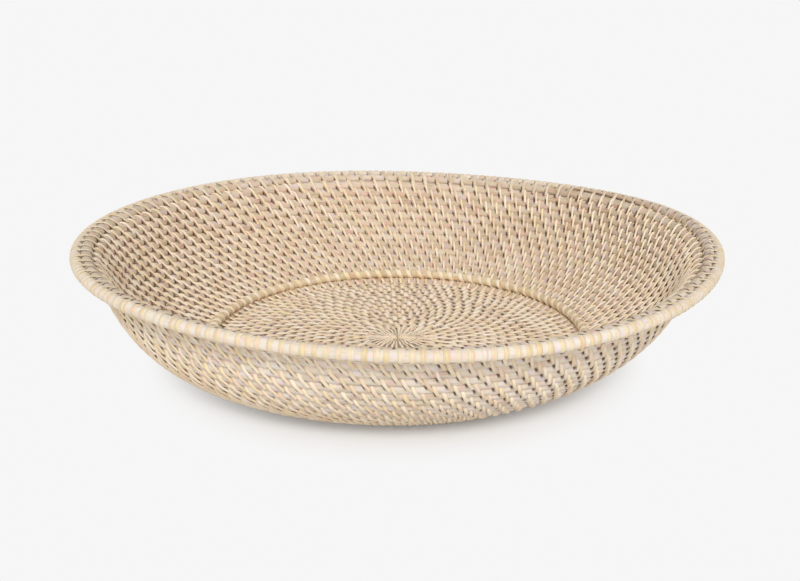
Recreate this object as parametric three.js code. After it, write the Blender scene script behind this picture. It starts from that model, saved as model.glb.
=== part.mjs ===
import * as THREE from "three";

// Round rattan basket. Cane is coiled from the middle of the floor, out along the floor and up
// the wall to the rim. Lengths are millimetres, the basket stands on z = 0 and its axis is Z.

const degrees = Math.PI / 180;

// The cane of the coil, and how one length of cane follows another
const rodDiameter = 6.8;
const rodSides = 6;
const rowGap = 0.6;
const stepsPerTurn = 24;
const firstTurnRadius = 5;
const floorCanes = 2;
const wallCanes = 5;
const scarfLength = 16;
const jointGap = 0.35;
const tipDiameter = 1.6;

// The floor and the wall, along the centre of the cane
const floorRadius = 136.5;
const wallStartSlope = 27 * degrees;
const wallStartReach = 79;
const wallEndSlope = 40 * degrees;
const wallEndReach = 26.8;

// The rim is bent by hand and not quite level: it stands higher on two opposite sides
const rimSway = 4.2;
const swayAzimuth = 160 * degrees;

// The thick hoop that is lashed to the outside of the top row
const rimRadius = 225.4;
const rimHeight = 84.6;
const hoopDiameter = 8.2;
const hoopSides = 8;
const hoopRise = 5 * degrees;
const hoopScarfLength = 34;

// The raised ring where the wall leaves the floor
const ringDiameter = 7.2;
const ringSides = 8;
const ringPlaceOnWall = 8.6;
const ringScarfLength = 22;

// The split cane that is wound round the hoop and the top row
const strandWidth = 2.6;
const strandThickness = 0.5;
const strandClearance = 0.35;
const rimLashingTurns = 72;

// The split cane that crosses the first turns of the floor like a star
const starRadius = 27;
const starArms = 24;
const starArmWidth = 2.2;
const starHole = 1.4;
const seatGap = 0.3;

const rodRadius = rodDiameter / 2;
const rodHalfHeight = rodRadius * Math.cos(Math.PI / rodSides);
const hoopRadius = hoopDiameter / 2;
const ringRodRadius = ringDiameter / 2;
const fullTurn = 2 * Math.PI;

// The centreline of the coil in the plane of the axis: x is the radius and y is the height
const topRowOffset = rodRadius + seatGap + hoopRadius;
const topRow = new THREE.Vector2(
  rimRadius - topRowOffset * Math.cos(hoopRise),
  rimHeight - topRowOffset * Math.sin(hoopRise),
);
const profile = new THREE.Path();
profile.moveTo(0, rodHalfHeight);
profile.lineTo(floorRadius, rodHalfHeight);
profile.bezierCurveTo(
  floorRadius + wallStartReach * Math.cos(wallStartSlope),
  rodHalfHeight + wallStartReach * Math.sin(wallStartSlope),
  topRow.x - wallEndReach * Math.cos(wallEndSlope),
  topRow.y - wallEndReach * Math.sin(wallEndSlope),
  topRow.x,
  topRow.y,
);
const profileLength = profile.getLength();

function profilePoint(along) {
  const share = THREE.MathUtils.clamp(along / profileLength, 0, 1);
  return profile.getPoint(share);
}

// The slope is taken across one row, so the cane turns the corner of the floor smoothly
function profileSlope(along) {
  const before = profilePoint(Math.min(along, profileLength) - rodRadius);
  const after = profilePoint(along + rodRadius);
  return Math.atan2(after.y - before.y, after.x - before.x);
}

// How far along the profile the coil lies after a number of turns. The last rows stand wider
// apart, because the rim lashing passes between them. The very last turn thins out to a tip
// under the level rim.
const strandOverCorner = (strandClearance + strandThickness) / Math.cos(Math.PI / rodSides);
const lashedPitch = rodDiameter + strandOverCorner + strandClearance;
const lashedTurns = 2;
const evenLength = profileLength - firstTurnRadius - lashedTurns * lashedPitch;
const evenSteps = Math.floor((evenLength / (rodDiameter + rowGap)) * stepsPerTurn);
const evenTurns = evenSteps / stepsPerTurn;
const pitch = evenLength / evenTurns;
const topStep = evenSteps + lashedTurns * stepsPerTurn;
const topTurn = topStep / stepsPerTurn;
const taperSteps = Math.floor(((rodDiameter - tipDiameter) / lashedPitch) * stepsPerTurn);
const lastStep = topStep + taperSteps;

function rowAt(turn) {
  if (turn <= evenTurns) {
    return { along: firstTurnRadius + pitch * turn, radius: rodRadius };
  }
  if (turn <= topTurn) {
    return { along: profileLength - lashedPitch * (topTurn - turn), radius: rodRadius };
  }
  const thinned = (lashedPitch / 2) * (turn - topTurn);
  return { along: profileLength + thinned, radius: rodRadius - thinned };
}

// How much higher a place stands than it would on a level rim. The floor stays flat.
function swayAt(azimuth, height) {
  const share = Math.max(height - rodHalfHeight, 0) / (rimHeight - rodHalfHeight);
  return rimSway * share ** 1.5 * Math.cos(azimuth - swayAzimuth) ** 2;
}

// A section is a polygon in a plane through the axis, with a corner towards the next row
function sectionAt(azimuth, centre, slope, radius, sides) {
  const outward = new THREE.Vector3(Math.cos(azimuth), Math.sin(azimuth), 0);
  const middle = outward.clone().multiplyScalar(centre.x);
  middle.z = centre.y + swayAt(azimuth, centre.y);
  const corners = [];
  for (let i = 0; i < sides; i++) {
    const angle = slope + (i * fullTurn) / sides;
    const corner = middle.clone().addScaledVector(outward, radius * Math.cos(angle));
    corner.z += radius * Math.sin(angle);
    corners.push(corner);
  }
  return { middle, corners };
}

// Underneath, the coil is cut flat where the basket stands
function coilSection(step) {
  const turn = step / stepsPerTurn;
  const { along, radius } = rowAt(turn);
  const slope = profileSlope(along);
  const centre = profilePoint(along);
  const past = Math.max(along - profileLength, 0);
  centre.x += past * Math.cos(slope);
  centre.y += past * Math.sin(slope);
  const section = sectionAt(turn * fullTurn, centre, slope, radius, rodSides);
  for (const corner of section.corners) {
    corner.z = Math.max(corner.z, 0);
  }
  return section;
}

// A section somewhere on the straight piece between two whole steps
function sectionBetween(sectionOf, step, shift = () => 0) {
  const low = sectionOf(Math.floor(step));
  const high = sectionOf(Math.floor(step) + 1);
  const share = step - Math.floor(step);
  const chord = low.middle.distanceTo(high.middle);
  const corners = low.corners.map((corner, i) =>
    corner.clone().lerp(high.corners[i], share + shift(i) / chord),
  );
  return { middle: low.middle.clone().lerp(high.middle, share), corners };
}

// The slanted cut at the end of a cane. Two canes meet there face to face with jointGap between.
function scarfSection(sectionOf, step, side, length, sides) {
  const halfHeight = Math.cos(Math.PI / sides);
  const thickness = 2 * halfHeight * sectionRadius(sectionOf(Math.floor(step)));
  const gapAlong = jointGap / Math.sin(Math.atan2(thickness, length));
  const shift = (i) => {
    const lift = Math.sin((i * fullTurn) / sides) / halfHeight;
    return (lift * length) / 2 + (side * gapAlong) / 2;
  };
  return sectionBetween(sectionOf, step, shift);
}

function sectionRadius(section) {
  return section.middle.distanceTo(section.corners[0]);
}

// A closed tube through a list of sections
function tube(sections) {
  const sides = sections[0].corners.length;
  const points = sections.flatMap((section) => section.corners);
  const positions = points.flatMap((point) => [point.x, point.y, point.z]);
  const faces = [];
  for (let s = 0; s + 1 < sections.length; s++) {
    for (let i = 0; i < sides; i++) {
      const a = s * sides + i;
      const b = s * sides + ((i + 1) % sides);
      faces.push(a, a + sides, b, b, a + sides, b + sides);
    }
  }
  const end = (sections.length - 1) * sides;
  for (let i = 1; i + 1 < sides; i++) {
    faces.push(0, i, i + 1, end, end + i + 1, end + i);
  }
  const geometry = new THREE.BufferGeometry();
  geometry.setAttribute("position", new THREE.Float32BufferAttribute(positions, 3));
  geometry.setIndex(faces);
  geometry.computeVertexNormals();
  return geometry;
}

// The least distance between points of a tube that lie at least half a turn apart along it
function leastGapToItself(sections, halfTurn) {
  let least = Infinity;
  for (let s = 0; s < sections.length; s++) {
    for (let t = s + halfTurn; t < sections.length; t++) {
      for (const p of sections[s].corners) {
        for (const q of sections[t].corners) {
          least = Math.min(least, p.distanceToSquared(q));
        }
      }
    }
  }
  return Math.sqrt(least);
}

const basket = new THREE.Group();

function addPiece(name, geometry, material) {
  const mesh = new THREE.Mesh(geometry, material);
  mesh.name = name;
  basket.add(mesh);
}

function canePaint(colour) {
  return new THREE.MeshStandardMaterial({ color: colour, roughness: 0.62, metalness: 0 });
}

// One cane of the coil, with a slanted cut at each end that meets another cane
function addCane(name, from, to, colour) {
  const sections = [];
  if (from > 0) {
    sections.push(scarfSection(coilSection, from + 0.5, 1, scarfLength, rodSides));
  } else {
    sections.push(coilSection(0));
  }
  for (let step = from + 1; step <= to; step++) {
    sections.push(coilSection(step));
  }
  if (to < lastStep) {
    sections.push(scarfSection(coilSection, to + 0.5, -1, scarfLength, rodSides));
  }
  addPiece(name, tube(sections), canePaint(colour));
  const gap = leastGapToItself(sections, stepsPerTurn / 2);
  console.log(`${name}: least gap to itself ${gap.toFixed(2)} mm`);
}

// A stretch of the coil is made of a number of canes of about equal length
function addCanes(prefix, count, from, to, colours) {
  const lengths = [0];
  for (let step = from; step < to; step++) {
    const chord = coilSection(step).middle.distanceTo(coilSection(step + 1).middle);
    lengths.push(lengths.at(-1) + chord);
  }
  let start = from;
  for (let i = 1; i <= count; i++) {
    const target = (lengths.at(-1) * i) / count;
    const reached = lengths.findIndex((length) => length >= target - 1e-6);
    const end = i === count ? to : from + reached;
    addCane(`${prefix}_${i}`, start, end, colours[i % colours.length]);
    start = end;
  }
}

const floorLastStep = Math.floor(((floorRadius - firstTurnRadius) / pitch) * stepsPerTurn);
addCanes("floor_rod", floorCanes, 0, floorLastStep, [0xc9ac8c, 0xd2b697]);
addCanes("wall_rod", wallCanes, floorLastStep, lastStep, [0xcdb294, 0xd6bfa6, 0xc8ab8b]);

// A hoop is one cane bent into a circle, with its two slanted ends face to face
function hoopSections(sectionOf, length, sides) {
  const sections = [scarfSection(sectionOf, 0.5, 1, length, sides)];
  for (let step = 1; step <= stepsPerTurn; step++) {
    sections.push(sectionOf(step));
  }
  sections.push(scarfSection(sectionOf, stepsPerTurn + 0.5, -1, length, sides));
  return sections;
}

// The rim hoop
const hoopCentre = new THREE.Vector2(rimRadius, rimHeight);
const hoopSection = (step) =>
  sectionAt((step / stepsPerTurn) * fullTurn, hoopCentre, 0, hoopRadius, hoopSides);
addPiece(
  "rim_hoop",
  tube(hoopSections(hoopSection, hoopScarfLength, hoopSides)),
  canePaint(0xe0d3c3),
);

// The raised ring lies on the first rows of the wall
const ringAlong = floorRadius + ringPlaceOnWall;
const ringSlope = profileSlope(ringAlong);
const ringLift = rodHalfHeight + seatGap + ringRodRadius;
const ringCentre = profilePoint(ringAlong);
ringCentre.x -= ringLift * Math.sin(ringSlope);
ringCentre.y += ringLift * Math.cos(ringSlope);
const ringSection = (step) =>
  sectionAt((step / stepsPerTurn) * fullTurn, ringCentre, 0, ringRodRadius, ringSides);
addPiece(
  "ring_rod",
  tube(hoopSections(ringSection, ringScarfLength, ringSides)),
  canePaint(0xe6cfa6),
);

// The star of split cane over the first turns of the floor
function starShape() {
  const shape = new THREE.Shape();
  const rootRadius = starArmWidth / 2 / Math.sin(Math.PI / starArms);
  const tipHalfAngle = Math.asin(starArmWidth / 2 / starRadius);
  for (let i = 0; i < starArms; i++) {
    const middle = (i * fullTurn) / starArms;
    const root = middle - Math.PI / starArms;
    const outline = [
      [rootRadius, root],
      [starRadius, middle - tipHalfAngle],
      [starRadius, middle + tipHalfAngle],
    ];
    for (const [radius, angle] of outline) {
      shape.lineTo(radius * Math.cos(angle), radius * Math.sin(angle));
    }
  }
  shape.curves.shift();
  shape.closePath();
  const hole = new THREE.Path();
  hole.absarc(0, 0, starHole, 0, fullTurn, true);
  shape.holes.push(hole);
  return shape;
}

const starGeometry = new THREE.ExtrudeGeometry(starShape(), {
  depth: strandThickness,
  bevelEnabled: false,
  curveSegments: 6,
});
starGeometry.translate(0, 0, 2 * rodHalfHeight + seatGap);
addPiece("floor_star", starGeometry, canePaint(0xe9d3b0));

// The rim lashing is one strand that winds round the hoop and the top row together. On its way
// round it passes these corners: first those of the hoop, then those of the top row.
const hoopCorners = [5, 6, 7, 0, 1, 2].map((corner) => ({ sectionOf: hoopSection, corner }));
const rowCorners = [1, 2, 3, 4].map((corner) => ({ sectionOf: null, corner }));
const cornersRound = [...hoopCorners, ...rowCorners];

function strandPoint(step, place, rowStepsBack, lift) {
  const onRow = place.sectionOf === null;
  const section = onRow
    ? sectionBetween(coilSection, step - rowStepsBack)
    : sectionBetween(place.sectionOf, step);
  const sides = section.corners.length;
  const corner = section.corners[place.corner];
  const outward = corner.clone().sub(section.middle).normalize();
  return corner.clone().addScaledVector(outward, lift / Math.cos(Math.PI / sides));
}

function rimLashing() {
  const stepsPerWinding = stepsPerTurn / rimLashingTurns;
  const chord = (rimRadius * fullTurn) / stepsPerTurn;
  const halfWidth = strandWidth / 2 / chord;
  const sections = [];
  for (let winding = 0; winding + 1 < rimLashingTurns; winding++) {
    const begin = topStep + (winding + 0.5) * stepsPerWinding;
    const rowStepsBack = begin + stepsPerWinding + halfWidth < lastStep ? 0 : stepsPerTurn;
    cornersRound.forEach((place, i) => {
      const step = begin + (i / cornersRound.length) * stepsPerWinding;
      const inner = strandClearance;
      const outer = strandClearance + strandThickness;
      const corners = [
        strandPoint(step - halfWidth, place, rowStepsBack, inner),
        strandPoint(step + halfWidth, place, rowStepsBack, inner),
        strandPoint(step + halfWidth, place, rowStepsBack, outer),
        strandPoint(step - halfWidth, place, rowStepsBack, outer),
      ];
      const middle = corners[0].clone().lerp(corners[2], 0.5);
      sections.push({ middle, corners });
    });
  }
  return sections;
}

const lashing = rimLashing();
addPiece("rim_lashing", tube(lashing), canePaint(0xe8cf9f));
const lashingGap = leastGapToItself(lashing, cornersRound.length);
console.log(`rim_lashing: least gap to itself ${lashingGap.toFixed(2)} mm`);

export default basket;
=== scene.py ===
import math
import bpy
import numpy as np
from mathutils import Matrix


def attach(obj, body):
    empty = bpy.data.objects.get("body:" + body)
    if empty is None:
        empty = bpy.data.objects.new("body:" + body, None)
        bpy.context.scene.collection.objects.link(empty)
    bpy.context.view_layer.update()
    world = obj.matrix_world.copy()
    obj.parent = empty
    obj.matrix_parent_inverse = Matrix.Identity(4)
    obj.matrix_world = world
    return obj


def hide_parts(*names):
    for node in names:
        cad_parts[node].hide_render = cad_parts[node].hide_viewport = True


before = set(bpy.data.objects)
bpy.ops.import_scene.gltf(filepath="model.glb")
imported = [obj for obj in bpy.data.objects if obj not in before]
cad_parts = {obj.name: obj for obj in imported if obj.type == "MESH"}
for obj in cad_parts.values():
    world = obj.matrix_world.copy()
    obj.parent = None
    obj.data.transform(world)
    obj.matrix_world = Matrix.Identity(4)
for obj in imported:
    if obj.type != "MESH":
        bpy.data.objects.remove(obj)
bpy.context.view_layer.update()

# Round rattan basket. Round cane is coiled from the middle of the floor to the rim, and thin
# strips of split cane bind every row to the row before it.
# Sizes are millimetres and become metres when a mesh is made. A place on the coil is a number of
# turns, counted from the middle of the floor, and its azimuth is that number times TURN. The
# profile is the line that the coil follows, seen in a plane through the basket's axis.

MM = 0.001
TURN = 2 * math.pi
rng = np.random.default_rng(7)

# The profile and the coil, as in the solids. ROD is half the thickness of the cane there.
ROD = 3.4
STEPS = 24
FIRST_R = 5.0
FLOOR_R = 136.5
FLOOR_Z = ROD * math.cos(math.pi / 6)
WALL_START, WALL_START_REACH = math.radians(27), 79
WALL_END, WALL_END_REACH = math.radians(40), 26.8
RIM_R, RIM_Z = 225.4, 84.6
TOP_OFFSET, TOP_DIP = 7.8, math.radians(5)
TOP_R = RIM_R - TOP_OFFSET * math.cos(TOP_DIP)
TOP_Z = RIM_Z - TOP_OFFSET * math.sin(TOP_DIP)
EVEN_PITCH = 7.4
LASHED_TURNS = 2
STRAND_OVER_CORNER = 0.85 / math.cos(math.pi / 6)
STRAND_CLEARANCE = 0.35
LASHED_PITCH = 2 * ROD + STRAND_OVER_CORNER + STRAND_CLEARANCE
SOLID_TIP = 1.6
SEAT_GAP = 0.3

# The rim is bent by hand. How often each wave goes round it, its height, and a crest's azimuth.
RIM_RISE = 1.68
RIM_WAVES = ((1, 1.8, 163), (2, 2.53, 3), (3, 1.4, -3))
SWAY_POWER = 1.5

# The wall stands out a little at the front left
BULGE, BULGE_AZIMUTH, BULGE_SPAN = 4.4, math.radians(216), math.radians(34)
BULGE_POWER = 0.8
SLOPE_LENGTH = 4

# The rows run less evenly from this turn on: in front they lie lower, most of all near the rim,
# and at the left a little higher
UNEVEN_FROM = 23.5
FRONT_DROP, FRONT_AZIMUTH = 5.8, math.radians(265)
FRONT_DROP_BEHIND = 0.2
FRONT_NARROWING = 1.5
FRONT_TURNS, FRONT_GROWTH = 10.28, 1.8
LEFT_LIFT, LEFT_AZIMUTH, LEFT_SPAN = 3.05, math.radians(187), math.radians(31)
LEFT_TURNS, LEFT_GROWTH = 6, 0.6

# The cane of the coil as it looks. CANE is half its thickness and CANE_WIDE half its width.
CANE = 3.15
CANE_WIDE = 4.1
FLOOR_LIFT = 0.72
CORNER = 30
CLIMB_PAST_TOP = math.radians(60)
THIN_FROM, END_TURN, TIP = 34.02, 34.125, 0.2
WANDER_R, WANDER_Z, WANDER_THICK, WANDER_HOOP = 0.13, 0.10, 0.02, 0.12
CALM = 0.15
CALM_TURNS = 1.5

# The top row is the last turn, pressed outwards and drawn up to the hoop. Each sets in over a
# short stretch, and where the row begins the pull is double.
TOP_START = END_TURN - 1
TOP_PRESS = 1.2
HOOP_CLEARANCE = 0.3
HOOP_PULL = 0.35
PRESS_SETS_IN = (TOP_START - 0.1, TOP_START + 0.05)
PULL_SETS_IN = (TOP_START - 0.03, TOP_START + 0.02)
PULL_EASES = (TOP_START, TOP_START + 0.1)

# The hoop and the ring, with the length of the slanted cut that closes each
HOOP_R, HOOP_Z, HOOP_CANE, HOOP_CUT = 225.85, RIM_Z, 3.55, 34
RING_CANE, RING_CUT, RING_SEAT = 3.25, 22, 3.6
RING_ALONG = FLOOR_R + 8.6
HOOP_SECTIONS, RING_SECTIONS, HOOP_SIDES = 180, 144, 16

# The strips
STRIP_W, STRIP_T = 1.9, 1.1
FLOOR_STRIP_T = 0.85
FLOOR_STRIP_MIN, FLOOR_STRIP_MAX = 2.2, 3.3
FLOOR_STRIP_SHARE, FLOOR_STRIP_MORE = 0.33, 0.3
PITCH_AROUND = 11.4
RIM_WINDINGS = 226
RIM_STRIP_W, RIM_STRIP_T = 3.4, 0.42
RING_WINDINGS = 94
RING_STRIP_W, RING_STRIP_T = 3.5, 0.6
STAR_ARMS, STAR_R = 32, 27.0
STAR_STRIP_W, STAR_STRIP_T = 2.0, 0.45
STAR_STRIP_SHARE = 0.66


def ramp(value, low, high):
    """0 up to low, 1 from high on, and even in between."""
    return np.clip((value - low) / (high - low), 0, 1)


def eased(value, low, high):
    """As ramp, with a soft start and end."""
    share = ramp(value, low, high)
    return share * share * (3 - 2 * share)


def bell(azimuth, middle, span):
    """1 at the azimuth middle, and less and less to both sides."""
    away = (azimuth - middle + TURN / 2) % TURN - TURN / 2
    return np.exp(-(away / span) ** 2)


def added_up(steps):
    """How far each point lies from the first one, from the steps between them."""
    return np.concatenate([[0.0], np.cumsum(steps)])


def to_space(r, z, azimuth):
    return np.stack(np.broadcast_arrays(r * np.cos(azimuth), r * np.sin(azimuth), z), -1)


# The profile

def bezier(p0, p1, p2, p3, t):
    s = 1 - t
    return s**3 * p0 + 3 * s * s * t * p1 + 3 * s * t * t * p2 + t**3 * p3


def make_profile():
    """The profile's points: how far each lies along it, its radius and its height."""
    t = np.linspace(0, 1, 1500)
    r = bezier(FLOOR_R, FLOOR_R + WALL_START_REACH * math.cos(WALL_START),
               TOP_R - WALL_END_REACH * math.cos(WALL_END), TOP_R, t)
    z = bezier(FLOOR_Z, FLOOR_Z + WALL_START_REACH * math.sin(WALL_START),
               TOP_Z - WALL_END_REACH * math.sin(WALL_END), TOP_Z, t)
    r = np.concatenate([[0.0], r])
    z = np.concatenate([[FLOOR_Z], z])
    return added_up(np.hypot(np.diff(r), np.diff(z))), r, z


PROF_S, PROF_R, PROF_Z = make_profile()


def profile_point(along):
    return np.interp(along, PROF_S, PROF_R), np.interp(along, PROF_S, PROF_Z)


def profile_slope(start, stop):
    r0, z0 = profile_point(start)
    r1, z1 = profile_point(stop)
    return np.arctan2(z1 - z0, r1 - r0)


# How many steps and turns the coil has, worked out as in the solids
LENGTH = PROF_S[-1]
EVEN_LENGTH = LENGTH - FIRST_R - LASHED_TURNS * LASHED_PITCH
EVEN_STEPS = math.floor(EVEN_LENGTH / EVEN_PITCH * STEPS)
PITCH = EVEN_LENGTH / (EVEN_STEPS / STEPS)
TOP_STEP = EVEN_STEPS + LASHED_TURNS * STEPS
TOP_TURN = TOP_STEP / STEPS
LAST_STEP = TOP_STEP + math.floor((2 * ROD - SOLID_TIP) / LASHED_PITCH * STEPS)

# The rows of this coil are all one ROW apart, where nothing makes them uneven
ROW = (LENGTH - FIRST_R) / TOP_TURN
FLOOR_TURN = (FLOOR_R - FIRST_R) / ROW

# Small wanderings of hand work, the same for the cane and what is wound on it
WAVES = [(rng.uniform(0.6, 9.0), rng.uniform(0, TURN), rng.uniform(0.4, 1.0)) for _ in range(14)]


def wander(turn, which):
    """One of several wanderings along the coil, told apart by a number."""
    total = np.zeros_like(turn)
    for i, (rate, phase, size) in enumerate(WAVES):
        total += size * np.sin(TURN * rate * turn + phase + 1.7 * which * (i + 1))
    return total / 4.0


def even_along(turn):
    return LENGTH - ROW * (TOP_TURN - turn)


def row_along(turn):
    """How far along the profile the coil lies after a number of turns."""
    later = np.clip(turn - UNEVEN_FROM, 0, None)
    facing_front = (0.5 + 0.5 * np.cos(turn * TURN - FRONT_AZIMUTH)) ** FRONT_NARROWING
    in_front = FRONT_DROP_BEHIND + (1 - FRONT_DROP_BEHIND) * facing_front
    drop = FRONT_DROP * in_front * (later / FRONT_TURNS) ** FRONT_GROWTH
    at_left = bell(turn * TURN, LEFT_AZIMUTH, LEFT_SPAN)
    lift = LEFT_LIFT * at_left * ramp(later, 0, LEFT_TURNS) ** LEFT_GROWTH
    return even_along(turn) - drop + lift


def sway(height, azimuth):
    """How much higher a place stands than it would on a level rim."""
    share = np.clip(height - FLOOR_Z, 0, None) / (RIM_Z - FLOOR_Z)
    waves = sum(size * np.cos(times * (azimuth - math.radians(crest)))
                for times, size, crest in RIM_WAVES)
    return (RIM_RISE + waves) * share**SWAY_POWER


def bulge(along, azimuth):
    """How far out and up the bulge moves a place of the wall."""
    up_the_wall = np.sin(math.pi * ramp(along, FLOOR_R, LENGTH)) ** BULGE_POWER
    size = BULGE * up_the_wall * bell(azimuth, BULGE_AZIMUTH, BULGE_SPAN)
    back = np.clip(along - SLOPE_LENGTH / 2, 0, None)
    slope = profile_slope(back, back + SLOPE_LENGTH)
    return size * np.sin(slope), -size * np.cos(slope)


def drawn_to_hoop(r, z, turn):
    """The top row closes a part of the gap to the hoop."""
    to_r = HOOP_R - r
    to_z = HOOP_Z + sway(HOOP_Z, turn * TURN) - z
    far = np.hypot(to_r, to_z)
    gap = np.clip(far - HOOP_CANE - CANE - HOOP_CLEARANCE, 0, None)
    pull = HOOP_PULL * (2 - ramp(turn, *PULL_EASES))
    moved = pull * gap * ramp(turn, *PULL_SETS_IN)
    return r + moved * to_r / far, z + moved * to_z / far


def row_centre(turn):
    """Radius and height of the coil's centre after a number of turns."""
    turn = np.asarray(turn, float)
    azimuth = turn * TURN
    along = row_along(turn)
    held = np.clip(along, 0, LENGTH)
    r, z = profile_point(held)
    out_r, out_z = bulge(held, azimuth)
    past = np.clip(along - LENGTH, 0, None)
    r = r + out_r + past * math.cos(CLIMB_PAST_TOP)
    r = r + TOP_PRESS * ramp(turn, *PRESS_SETS_IN)
    z = z + out_z + past * math.sin(CLIMB_PAST_TOP)
    z = z + sway(z, azimuth)
    r, z = drawn_to_hoop(r, z, turn)
    z = z + FLOOR_LIFT * (1 - eased(along, FLOOR_R, FLOOR_R + CORNER))
    near_top = np.clip((TOP_TURN - turn) / CALM_TURNS, CALM, 1)
    on_floor = np.clip((along - FLOOR_R) / CORNER, CALM, 1)
    r = r + WANDER_R * wander(turn, 1) * near_top
    z = z + WANDER_Z * wander(turn, 2) * near_top * on_floor
    return r, z


def row_radius(turn):
    """Half the thickness of the cane, which thins out to a tip at the end."""
    turn = np.asarray(turn, float)
    left = np.interp(turn, (THIN_FROM, END_TURN), (1, TIP))
    return left * CANE * (1 + WANDER_THICK * wander(turn, 3))


def row_slope(turn):
    """The slope across the rows at a place of the coil."""
    r0, z0 = row_centre(turn - 0.5)
    r1, z1 = row_centre(turn + 0.5)
    return np.arctan2(z1 - z0, r1 - r0)


# Each zone of the coil begins at a turn and has so many stitches in a turn. Over FLOOR_TO_WALL
# turns the stitches of the floor change into those of the wall.
FLOOR_TO_WALL = 1.5
ZONES = ((0.0, 24.5), (4.4, 32.5), (7.0, 56.5), (13.9, 94.5), (17.2, 110.5))
PAST_THE_COIL = 99.0
ZONE_TURNS = np.array([start for start, count in ZONES] + [PAST_THE_COIL])
ZONE_COUNTS = np.array([count for start, count in ZONES])
ZONE_NUMBERS = added_up(np.diff(ZONE_TURNS) * ZONE_COUNTS)


def stitch_number(turn):
    """Counts the stitches along the coil, whole where one is."""
    return np.interp(turn, ZONE_TURNS, ZONE_NUMBERS)


def stitch_turns(start, stop):
    """The stitches between two places of the coil, and how far each is from the next, in turns."""
    numbers = np.arange(math.ceil(stitch_number(start)), stitch_number(stop))
    turns = np.interp(numbers, ZONE_NUMBERS, ZONE_TURNS)
    return turns, 1 / ZONE_COUNTS[np.searchsorted(ZONE_TURNS, turns, side="right") - 1]


def rim_pairs(turn):
    """Counts the rim windings that pass round the top row as well, whole where one is."""
    return ((turn - TOP_START) * RIM_WINDINGS - 0.5) / 2


# Meshes

def add_object(name, data):
    obj = bpy.data.objects.new(name, data)
    bpy.context.scene.collection.objects.link(obj)
    return obj


def add_layer(mesh, name, kind, field, values):
    layer = mesh.attributes.new(name, kind, "POINT")
    layer.data.foreach_set(field, np.asarray(values, np.float32).ravel())


def make_mesh(name, verts, quads, tris, grain, tone, sharp=55, shaded_holes=None):
    """A mesh object. grain, tone and holes are read by the materials; the holes tell where shade is
    painted beside the stitches.
    """
    mesh = bpy.data.meshes.new(name)
    mesh.vertices.add(len(verts))
    mesh.vertices.foreach_set("co", (verts * MM).astype(np.float32).ravel())
    corners = np.concatenate([quads.ravel(), tris.ravel()]).astype(np.int32)
    mesh.loops.add(len(corners))
    mesh.loops.foreach_set("vertex_index", corners)
    count = len(quads) + len(tris)
    sizes = np.concatenate([np.full(len(quads), 4), np.full(len(tris), 3)])
    starts = np.concatenate([[0], np.cumsum(sizes)[:-1]]).astype(np.int32)
    mesh.polygons.add(count)
    mesh.polygons.foreach_set("loop_start", starts)
    mesh.polygons.foreach_set("use_smooth", np.ones(count, bool))
    add_layer(mesh, "grain", "FLOAT_VECTOR", "vector", grain)
    add_layer(mesh, "tone", "FLOAT", "value", tone)
    if shaded_holes is not None:
        add_layer(mesh, "shaded_holes", "FLOAT_VECTOR", "vector", shaded_holes)
    mesh.update(calc_edges=True)
    mesh.validate()
    mesh.set_sharp_from_angle(angle=math.radians(sharp))
    return add_object(name, mesh)


def tube_faces(sections, sides, closed=False):
    """Quads round a run of sections, and the triangles that close its two ends."""
    section, side = np.meshgrid(np.arange(sections if closed else sections - 1), np.arange(sides),
                                indexing="ij")
    ahead = (section + 1) % sections
    beside = (side + 1) % sides
    quads = np.stack([section * sides + side, ahead * sides + side,
                      ahead * sides + beside, section * sides + beside], -1)
    tris = []
    if not closed:
        end = (sections - 1) * sides
        for k in range(1, sides - 1):
            tris.append([0, k, k + 1])
            tris.append([end, end + k + 1, end + k])
    return quads.reshape(-1, 4), np.asarray(tris, np.int32).reshape(-1, 3)


def cane_solid(name, points, grain, tone, shaded_holes):
    """A closed cane. points, grain and holes: sections x sides x 3."""
    quads, tris = tube_faces(*points.shape[:2])
    tone = np.full(points.shape[:2], tone)
    return make_mesh(name, points.reshape(-1, 3), quads[:, ::-1], tris[:, ::-1], grain, tone, shaded_holes=shaded_holes)


def finish_piece(obj, material, nodes=()):
    obj.data.materials.append(material)
    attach(obj, "root")
    if nodes:
        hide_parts(*nodes)


# Canes of the coil

CANE_SIDES = 12
CANE_SQUARENESS = 0.86
SECTION_SHARE, SECTION_MIN, SECTION_MAX = 0.05, 1.2, 8.5
LAST_SECTION_SHARE = 0.4
CUT_LENGTH, CUT_GAP, CLEAR_OF_CUT = 16, 0.4, 11.0
GRAIN_APART = 1000

# How far a stitch leans, as a share of the way to the next one. FLOOR_LEAN is the floor's inside.
LEAN_IN, LEAN_OUT, FLOOR_LEAN = 0.42, 0.45, 0.31

# How much of that lean a stitch has reached on its own row, past its crest, and on the row below
OWN_SHARE, PAST_CREST_SHARE = 0.45, 0.17
BELOW_SHARE, BELOW_SHARE_MORE = 0.62, 0.3

# The painted shade of the holes lies beside the strip, and on the floor it moves with the side of the
# cane
HOLE_BESIDE = 0.8
FLOOR_HOLE_SHIFT = 0.35
TOP_HOLE_SHIFT, HOOP_HOLE_SHIFT, RING_HOLE_SHIFT = 0.25, 0.21, 0.72

# How far the painted shade beside the stitches spreads at the two sides of the basket, where the light
# grazes the wall, and how much more at the right
SIDE_SHADE_INSIDE, SIDE_SHADE_INSIDE_RIGHT = 1.2, 0.8
SIDE_SHADE_OUTSIDE, SIDE_SHADE_OUTSIDE_RIGHT = 2.3, -1.1
SIDE_SHADE_MOST = 1.8
SHADE_WIDENING = 0.06

# The painted shade in the gaps between the star's strips is marked on the first turns by a number below
# zero
STAR_TURNS, STAR_MARK = 2.0, -2.4
STAR_LIGHT, STAR_DARK = -1.5, -3.0


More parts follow.
